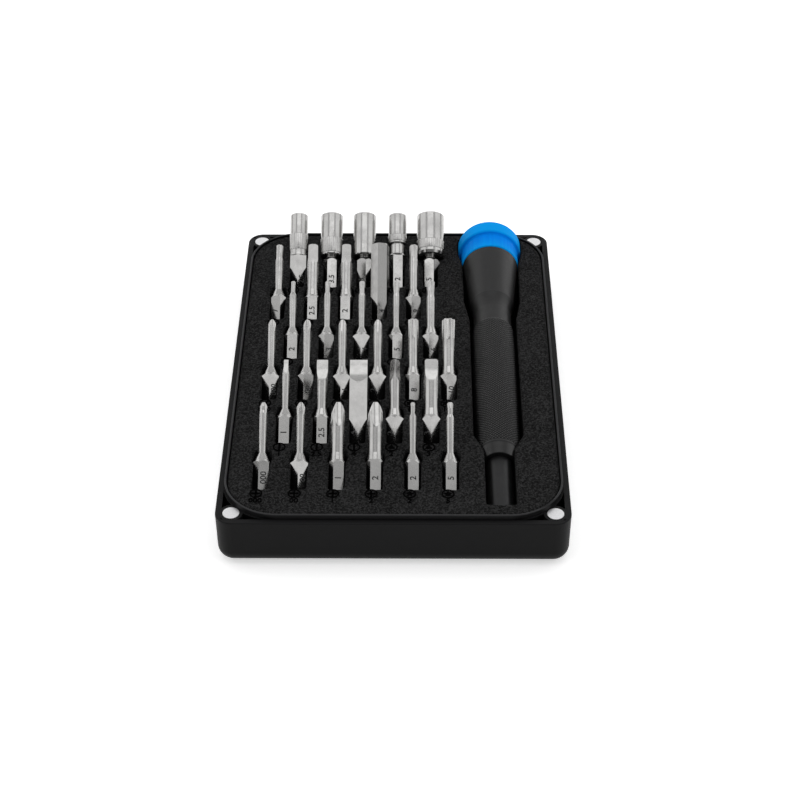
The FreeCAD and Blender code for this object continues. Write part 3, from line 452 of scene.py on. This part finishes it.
def cut_bit_slots(cutters):
    """For each bit, a hexagon tunnel round the shank, an open slot, and a scoop for a wide end."""
    for bit in BITS:
        butt, axis, side, upper, turn = bit_line(bit)
        hexagon = ring_points(butt, side, upper, SHANK_CORNER, 6, turn)
        add_cutter(cutters, hexagon, axis * TUNNEL[0], axis * TUNNEL[1])
        if "socket" in bit:
            low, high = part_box(bit)
            reach = (high.x - low.x) / 2 + SCOOP_PLAY
            scoop = ring_points(butt, side, upper, reach, 32)
            add_cutter(cutters, scoop, axis * SCOOP[0], axis * SCOOP[1])
        front, back = butt.y + SLOT_FRONT, butt.y + SLOT_BACK
        left, right = butt.x - SLOT_HALF_WIDTH, butt.x + SLOT_HALF_WIDTH
        corners = [(left, front), (right, front), (right, back), (left, back)]
        add_well(cutters, rounded_outline(corners, SLOT_CORNER), SLOT_FLOOR)


def cut_driver_recess(cutters):
    """A recess that follows the driver's outline, with a wide well round its cap."""
    shaft_low, shaft_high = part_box("bit_holder")
    cap_low, cap_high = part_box("swivel_cap")
    middle = shaft_low.x + (shaft_high.x - shaft_low.x) / 2
    front = shaft_low.y - 0.15 * MM
    # half widths in mm at stations along the driver: shaft, knurled grip, neck, head and cap
    stations = [(3.3, front), (3.3, front + 18.5 * MM), (5.55, front + 23.6 * MM),
                (5.55, front + 67.6 * MM), (6.8, front + 75.6 * MM), (6.95, cap_low.y - 0.6 * MM),
                (8.05, cap_low.y + 5.0 * MM), (8.05, cap_high.y + 0.2 * MM)]
    right = [(middle + half * MM, y) for half, y in stations]
    left = [(middle - half * MM, y) for half, y in reversed(stations)]
    add_well(cutters, rounded_outline(right + left, RECESS_CORNER, steps=4), RECESS_FLOOR)


FOAM_CORNER = 11.35 * MM
CORNER_STEPS = 12
FINE_VOXEL = 0.32 * MM
FOAM_TRIANGLES = 190_000
GRAIN_DEPTH = 0.06 * MM
GRAINS_PER_METRE = 1400


def foam_blank():
    """The uncut block, with round corners in plan."""
    bend = FOAM_CORNER
    middles = [(FOAM_LOW.x + bend, FOAM_LOW.y + bend), (FOAM_HIGH.x - bend, FOAM_LOW.y + bend),
               (FOAM_HIGH.x - bend, FOAM_HIGH.y - bend), (FOAM_LOW.x + bend, FOAM_HIGH.y - bend)]
    outline = []
    for index, (x, y) in enumerate(middles):
        for step in range(CORNER_STEPS + 1):
            angle = math.radians(180 + 90 * index + 90 * step / CORNER_STEPS)
            outline.append(Vector((x + bend * math.cos(angle), y + bend * math.sin(angle), 0)))
    vertices, faces = prism(outline, Vector((0, 0, FOAM_LOW.z)), Vector((0, 0, FOAM_HIGH.z)))
    return mesh_object("foam_with_slots", vertices, faces)


def build_foam():
    """The cut foam insert, remeshed so that every edge is soft and the skin can carry a grain.

    It is thinned at the end, so that its mesh stays under 200,000 triangles.
    """
    foam = foam_blank()
    cutters = bmesh.new()
    cut_bit_slots(cutters)
    cut_driver_recess(cutters)
    bmesh.ops.recalc_face_normals(cutters, faces=cutters.faces)
    mesh = bpy.data.meshes.new("slot_cutters")
    cutters.to_mesh(mesh)
    cutters.free()
    tool = bpy.data.objects.new("slot_cutters", mesh)
    bpy.context.scene.collection.objects.link(tool)
    cut = foam.modifiers.new("slots", "BOOLEAN")
    cut.operation = "DIFFERENCE"
    cut.solver = "EXACT"
    cut.use_self = True
    cut.object = tool
    skin = foam.modifiers.new("skin", "REMESH")
    skin.mode = "VOXEL"
    skin.voxel_size = FINE_VOXEL
    ease = foam.modifiers.new("ease", "SMOOTH")
    ease.factor = 0.5
    ease.iterations = 2
    apply_modifiers(foam)
    bpy.data.objects.remove(tool)
    add_grain(foam)
    thin = foam.modifiers.new("thin", "DECIMATE")
    thin.ratio = min(1.0, FOAM_TRIANGLES / (2 * len(foam.data.polygons)))
    apply_modifiers(foam)
    foam.data.shade_smooth()
    finish_piece(foam, "tray", FOAM)
    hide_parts("foam_insert")


def add_grain(foam):
    """Press the skin in by small random amounts, as cut foam cells do; nothing stands proud."""
    count = len(foam.data.vertices)
    places = np.zeros(count * 3)
    normals = np.zeros(count * 3)
    foam.data.vertices.foreach_get("co", places)
    foam.data.vertex_normals.foreach_get("vector", normals)
    places = places.reshape(-1, 3)
    normals = normals.reshape(-1, 3)
    depth = np.array([noise.noise(Vector(p) * GRAINS_PER_METRE) for p in places])
    places -= normals * (np.clip(depth + 0.4, 0, 1) * GRAIN_DEPTH)[:, None]
    foam.data.vertices.foreach_set("co", places.ravel())
    foam.data.update()


build_foam()


# ---- knurl and flutes --------------------------------------------------------------------------


DRIVER_AXIS = Vector(JOINTS["cap_spin"]["axis"]).normalized()
DRIVER_POINT = Vector(JOINTS["cap_spin"]["pos_m"])


def driver_profile(node, inside):
    """Stations along the driver's axis and radii of a turned CAD node's points outside a radius."""
    offset = points_of(node) - np.array(DRIVER_POINT)
    station = offset @ np.array(DRIVER_AXIS)
    radius = np.linalg.norm(offset - station[:, None] * np.array(DRIVER_AXIS), axis=1)
    keep = radius > inside
    order = np.argsort(station[keep])
    return station[keep][order], radius[keep][order]


def closed_sleeve(name, rings):
    """A closed tube from equal rings of points; the last ring is joined back to the first."""
    around = len(rings[0])
    vertices = [point for ring_of_points in rings for point in ring_of_points]
    faces = []
    for row in range(len(rings)):
        following = (row + 1) % len(rings)
        for column in range(around):
            after = (column + 1) % around
            faces.append((row * around + column, row * around + after,
                          following * around + after, following * around + column))
    return mesh_object(name, vertices, faces)


# every point of the grip's outside is farther from the axis than this
GRIP_INSIDE = 4.6 * MM
KNURL_OFFSET = 0.55 * MM
KNURL_LENGTH = 45.0 * MM
KNURL_STARTS = 40
KNURL_PITCH = 0.8 * MM
STEPS_PER_GROOVE = 6
# heights in mm above the grip, and how much of the pitch a crest's flat top fills
KNURL_FLOOR = 0.01
KNURL_CREST = 0.16
CREST_SHARE = 0.4
# how far in mm a sleeve's end rings dive under the surface they sit on
DIVE = 0.15


def build_knurl():
    """A thin sleeve of crossed grooves that follows the grip's own profile."""
    stations, radii = driver_profile("handle", GRIP_INSIDE)
    start = stations[0] + KNURL_OFFSET
    end = start + KNURL_LENGTH
    around = KNURL_STARTS * STEPS_PER_GROOVE
    rows = int((end - start) / (KNURL_PITCH / STEPS_PER_GROOVE))
    side = Vector((1, 0, 0))
    upper = side.cross(DRIVER_AXIS).normalized()
    rings = []
    carved = []
    for row in range(rows + 1):
        station = start + (end - start) * row / rows
        base = float(np.interp(station, stations, radii))
        fade = min(1.0, row / STEPS_PER_GROOVE, (rows - row) / STEPS_PER_GROOVE)
        points = []
        for column in range(around):
            turn = column / around
            ridge = 1.0
            for lean in (1, -1):
                phase = turn * KNURL_STARTS + lean * (station - start) / KNURL_PITCH
                groove = abs((phase % 1.0) - 0.5) * 2
                ridge = min(ridge, 1.0 - max(0.0, groove - CREST_SHARE) / (1 - CREST_SHARE))
            carved.append(1.0 - ridge)
            # the two end rings dive under the grip's surface, so the sleeve has no open edge
            rise = KNURL_FLOOR + KNURL_CREST * ridge * fade if 0 < row < rows else -DIVE
            radius = base + rise * MM
            angle = 2 * math.pi * turn
            points.append(DRIVER_POINT + DRIVER_AXIS * station
                          + (side * math.cos(angle) + upper * math.sin(angle)) * radius)
        rings.append(points)
    knurl = closed_sleeve("grip_knurl", rings)
    knurl.data.attributes.new("carved", "FLOAT", "POINT").data.foreach_set("value", carved)
    finish_piece(knurl, "driver", KNURL)


# heights in mm of a nut driver's flutes above its body, and the length over which they run out
BAND_FLOOR = 0.005
BAND_CREST = 0.05
BAND_RAMP = 0.15


def build_band(bit, start_mm, end_mm, count):
    """Fine straight flutes round a nut driver's body, between two stations from the butt."""
    butt, axis, side, upper, _ = bit_line(bit)
    offset = points_of(bit) - np.array(butt)
    station = offset @ np.array(axis)
    radius = np.linalg.norm(offset - station[:, None] * np.array(axis), axis=1)
    base = float(radius[station > end_mm * MM].max())
    rings = []
    for station_mm, proud in ((start_mm, 0), (start_mm, 0.2), (start_mm + BAND_RAMP, 1),
                              (end_mm - BAND_RAMP, 1), (end_mm, 0.2), (end_mm, 0)):
        points = []
        for column in range(count * 4):
            angle = 2 * math.pi * column / (count * 4)
            lift = BAND_FLOOR + BAND_CREST * proud * (column % 4 < 2) if proud else -DIVE
            points.append(butt + axis * station_mm * MM
                          + (side * math.cos(angle) + upper * math.sin(angle)) * (base + lift * MM))
        rings.append(points)
    finish_piece(closed_sleeve(bit + "_band", rings), bit, BIT_STEEL)


build_knurl()
build_band("bit_socket_2_5", 18.3, 22.6, 36)
build_band("bit_socket_3_5", 17.4, 21.4, 44)
build_band("bit_socket_2_0", 20.6, 22.4, 40)
build_band("bit_socket_5_0", 18.4, 20.8, 54)


# ---- marks on the foam and the shanks ----------------------------------------------------------


RING_OUTER = 1.42 * MM
RING_INNER = 1.12 * MM
RING_SIDES = 28


def add_ring(bm, x, y, z):
    """Add a flat ring."""
    circles = []
    for radius in (RING_OUTER, RING_INNER):
        circles.append([bm.verts.new((x + radius * math.cos(2 * math.pi * i / RING_SIDES),
                                      y + radius * math.sin(2 * math.pi * i / RING_SIDES), z))
                        for i in range(RING_SIDES)])
    for i in range(RING_SIDES):
        j = (i + 1) % RING_SIDES
        bm.faces.new((circles[0][i], circles[0][j], circles[1][j], circles[1][i]))


def star_points(x, y, lobes, outer, inner):
    """A star or, with inner equal to outer, a polygon, as plan points."""
    points = []
    for index in range(2 * lobes):
        radius = outer if index % 2 == 0 else inner
        angle = math.radians(90) + math.pi * index / lobes
        points.append((x + radius * math.cos(angle), y + radius * math.sin(angle)))
    return points


def bar(x, y, length, width, turn):
    """A thin rectangle as plan points."""
    c, s = math.cos(math.radians(turn)), math.sin(math.radians(turn))
    half = [(-length / 2, -width / 2), (length / 2, -width / 2),
            (length / 2, width / 2), (-length / 2, width / 2)]
    return [(x + a * c - b * s, y + a * s + b * c) for a, b in half]


SYMBOL_RADIUS = 0.95 * MM
STROKE = 0.45 * MM


def drive_symbol(bit, x, y):
    """Plan shapes inside the ring that show a bit's drive, about 2 mm across."""
    size = SYMBOL_RADIUS
    if "cross" in bit:
        lean = 45 if "fine" in bit else 0
        return [bar(x, y, 2 * size, STROKE, lean), bar(x, y, 2 * size, STROKE, lean + 90)]
    if "five_lobe" in bit:
        return [star_points(x, y, 5, size, 0.5 * size)]
    if "flat" in bit:
        return [bar(x, y, STROKE, 2 * size, 0)]
    if "triangle" in bit:
        return [star_points(x, y, 3, size, 0.5 * size)]
    if "three_wing" in bit:
        out = 0.4 * size
        return [bar(x + out * math.cos(math.radians(a)), y + out * math.sin(math.radians(a)),
                    0.85 * size, 0.8 * STROKE, a) for a in (90, 210, 330)]
    if "star" in bit:
        return [star_points(x, y, 6, size, 0.6 * size)]
    # six points at almost one radius: a hexagon
    return [star_points(x, y, 3, size, size * 0.98)]


SIZES = {
    "bit_cross_000": "000", "bit_cross_00": "00", "bit_cross_1": "1", "bit_cross_2": "2",
    "bit_five_lobe_2": "2", "bit_five_lobe_5": "5", "bit_flat_1_0": "1", "bit_flat_2_5": "2.5",
    "bit_flat_4_0": "4", "bit_triangle_2": "2", "bit_triangle_3": "3",
    "bit_fine_cross_000": "000", "bit_fine_cross_00": "00", "bit_three_wing_1": "1",
    "bit_three_wing_2": "2", "bit_star_8": "8", "bit_star_10": "10", "bit_star_2": "2",
    "bit_star_3": "3", "bit_star_4": "4", "bit_star_5": "5", "bit_star_6": "6",
    "bit_star_7": "7", "bit_hex_medium": "2.5", "bit_hex_small": "2", "bit_hex_large": "4",
    "bit_star_bored": "9", "bit_socket_2_5": "2.5", "bit_socket_3_5": "3.5",
    "bit_socket_3_0": "3", "bit_socket_2_0": "2", "bit_socket_5_0": "5",
}


# how much bolder the strokes are, as a share of the text's height
BOLDER = 0.02


def text_mesh(text, height, x, y, z):
    """Flat text centred on x, y, made full size first, because a tiny outline doesn't fill."""
    curve = bpy.data.curves.new("label", "FONT")
    curve.body = text
    curve.size = 1.0
    curve.offset = BOLDER
    curve.align_x = "CENTER"
    curve.align_y = "CENTER"
    curve.resolution_u = 3
    label = bpy.data.objects.new("label", curve)
    bpy.context.scene.collection.objects.link(label)
    bpy.context.view_layer.update()
    graph = bpy.context.evaluated_depsgraph_get()
    mesh = bpy.data.meshes.new_from_object(label.evaluated_get(graph))
    mesh.transform(Matrix.Translation((x, y, z)) @ Matrix.Scale(height, 4))
    bpy.data.objects.remove(label)
    return mesh


def thicken(piece, thickness):
    """Give a flat piece some thickness below its face."""
    solid = piece.modifiers.new("thickness", "SOLIDIFY")
    solid.thickness = thickness
    solid.offset = -1.0
    apply_modifiers(piece)


# a mark's height above the foam, and where its symbol and then its number lie, from the butt on
MARK_HEIGHT = 0.1 * MM
MARK_THICKNESS = 0.3 * MM
SYMBOL_OFFSET = Vector((-0.62, 0.25)) * MM
NUMBER_DROP = 2.35 * MM
FOAM_NUMBER = 1.95 * MM


def build_marks():
    """A drive symbol in a ring and a size number, printed on the foam in front of each slot."""
    z = FOAM_HIGH.z + MARK_HEIGHT
    bm = bmesh.new()
    for bit in BITS:
        x, y = bit_line(bit)[0].xy + SYMBOL_OFFSET
        add_ring(bm, x, y, z)
        for shape in drive_symbol(bit, x, y):
            bm.faces.new([bm.verts.new((px, py, z)) for px, py in shape])
        bm.from_mesh(text_mesh(SIZES[bit], FOAM_NUMBER, x, y - NUMBER_DROP, z))
    bmesh.ops.triangulate(bm, faces=bm.faces)
    bmesh.ops.recalc_face_normals(bm, faces=bm.faces)
    for face in bm.faces:
        if face.normal.z < 0:
            face.normal_flip()
    mesh = bpy.data.meshes.new("size_marks")
    bm.to_mesh(mesh)
    bm.free()
    marks = bpy.data.objects.new("size_marks", mesh)
    bpy.context.scene.collection.objects.link(marks)
    thicken(marks, MARK_THICKNESS)
    finish_piece(marks, "tray", MARK)


# a shank's number lies this far from the butt, just above a flat 2 mm from the bit's middle
NUMBER_STATION = 10.2 * MM
NUMBER_LEVEL = 2.012 * MM
NUMBER_THICKNESS = 0.05 * MM
SHANK_NUMBER = 1.9 * MM


def build_size_number(bit):
    """The bit's size number, marked on the shank's uppermost flat and read towards the tip."""
    butt, axis, side, upper, turn = bit_line(bit)
    angles = [turn + math.radians(30 + 60 * index) for index in range(6)]
    normal = max((side * math.cos(a) + upper * math.sin(a) for a in angles), key=lambda n: n.z)
    place = Matrix((axis, normal.cross(axis), normal)).transposed().to_4x4()
    place.translation = butt + axis * NUMBER_STATION + normal * NUMBER_LEVEL
    mesh = text_mesh(SIZES[bit], SHANK_NUMBER, 0, 0, 0)
    mesh.transform(place)
    number = bpy.data.objects.new(bit + "_number", mesh)
    bpy.context.scene.collection.objects.link(number)
    thicken(number, NUMBER_THICKNESS)
    finish_piece(number, bit, ETCH)


build_marks()
for bit_name in BITS:
    build_size_number(bit_name)


# ---- stage, light and camera -------------------------------------------------------------------


# how bright the room is from each direction
SIDE_LIGHT = 0.85
CEILING_LIGHT = 0.14
PANEL_LIGHT = 0.28
BACK_LIGHT = 0.4
ROOM_LIGHT = 0.22


def build_stage():
    """A pale floor that runs up behind the object."""
    floor_half, back, rise, bend, drop = 1.6, 1.3, 0.9, 0.4, 0.0001
    profile = [(-floor_half, 0.0), (back, 0.0)]
    for step in range(1, 13):
        angle = math.radians(90 * step / 12)
        profile.append((back + bend * math.sin(angle), bend * (1 - math.cos(angle))))
    profile.append((back + bend, rise))
    vertices = []
    for y, z in profile:
        vertices += [(-floor_half, y, z - drop), (floor_half, y, z - drop)]
    faces = [(2 * i, 2 * i + 1, 2 * i + 3, 2 * i + 2) for i in range(len(profile) - 1)]
    floor = mesh_object("floor", vertices, faces)
    n = Material("pale_floor")
    n.set(Base_Color=(0.93, 0.93, 0.93), Roughness=0.8, Specular_IOR_Level=0.1,
          Emission_Color=(1.0, 1.0, 1.0), Emission_Strength=0.5)
    floor.data.materials.append(n.material)


def add_softbox(name, place, target, width, height, watts):
    """A rectangular light that faces its target."""
    light = bpy.data.lights.new(name, "AREA")
    light.shape = "RECTANGLE"
    light.size = width
    light.size_y = height
    light.energy = watts
    lamp = bpy.data.objects.new(name, light)
    lamp.location = place
    lamp.rotation_euler = (Vector(target) - Vector(place)).to_track_quat("-Z", "Y").to_euler()
    bpy.context.scene.collection.objects.link(lamp)


def build_light():
    """A white room with two broad soft lights, left and right, and a ceiling with a small panel."""
    world = bpy.data.worlds.new("studio")
    world.use_nodes = True
    bpy.context.scene.world = world
    n = Nodes(world.node_tree)
    x, y, z = n.parts(n.add("ShaderNodeTexCoord").outputs["Generated"])
    side = n.math("MULTIPLY", n.remap(n.math("ABSOLUTE", x), 0.42, 0.72, 0.0, SIDE_LIGHT, True),
                  n.remap(z, 0.05, 0.3, 0.0, 1.0, True))
    ceiling = n.math("ADD", n.remap(z, 0.55, 0.85, 0.0, CEILING_LIGHT, True),
                     n.remap(z, 0.86, 0.93, 0.0, PANEL_LIGHT, True))
    back = n.remap(y, 0.2, 0.7, 0.0, BACK_LIGHT, True)
    total = n.math("ADD", n.math("ADD", side, ceiling), n.math("ADD", back, ROOM_LIGHT))
    room = world.node_tree.nodes["Background"]
    room.inputs["Color"].default_value = (1.0, 1.0, 1.0, 1.0)
    n.link(total, room.inputs["Strength"])
    add_softbox("top_light", (0.0, 0.1, 1.1), (0, 0, 0), 1.0, 0.8, 2.0)


CAMERA_LENS = 87.84
SENSOR_WIDTH = 36.0
CAMERA_PLACE = Vector((5.16, -366.6, 288.05)) * MM
# degrees down, to the right and round the line of sight
CAMERA_TURN = (38.0, -0.6535, -0.2704)


def build_camera():
    """A long lens, in front of the tray and above it."""
    data = bpy.data.cameras.new("camera")
    data.lens = CAMERA_LENS
    data.sensor_width = SENSOR_WIDTH
    camera = bpy.data.objects.new("camera", data)
    pitch, yaw, roll = (math.radians(a) for a in CAMERA_TURN)
    turn = Matrix.Rotation(-yaw, 4, "Z") @ Matrix.Rotation(math.pi / 2 - pitch, 4, "X")
    turn = turn @ Matrix.Rotation(roll, 4, "Z")
    camera.matrix_world = Matrix.Translation(CAMERA_PLACE) @ turn
    bpy.context.scene.collection.objects.link(camera)
    bpy.context.scene.camera = camera


build_stage()
build_light()
build_camera()
bpy.context.scene.view_settings.view_transform = "Standard"
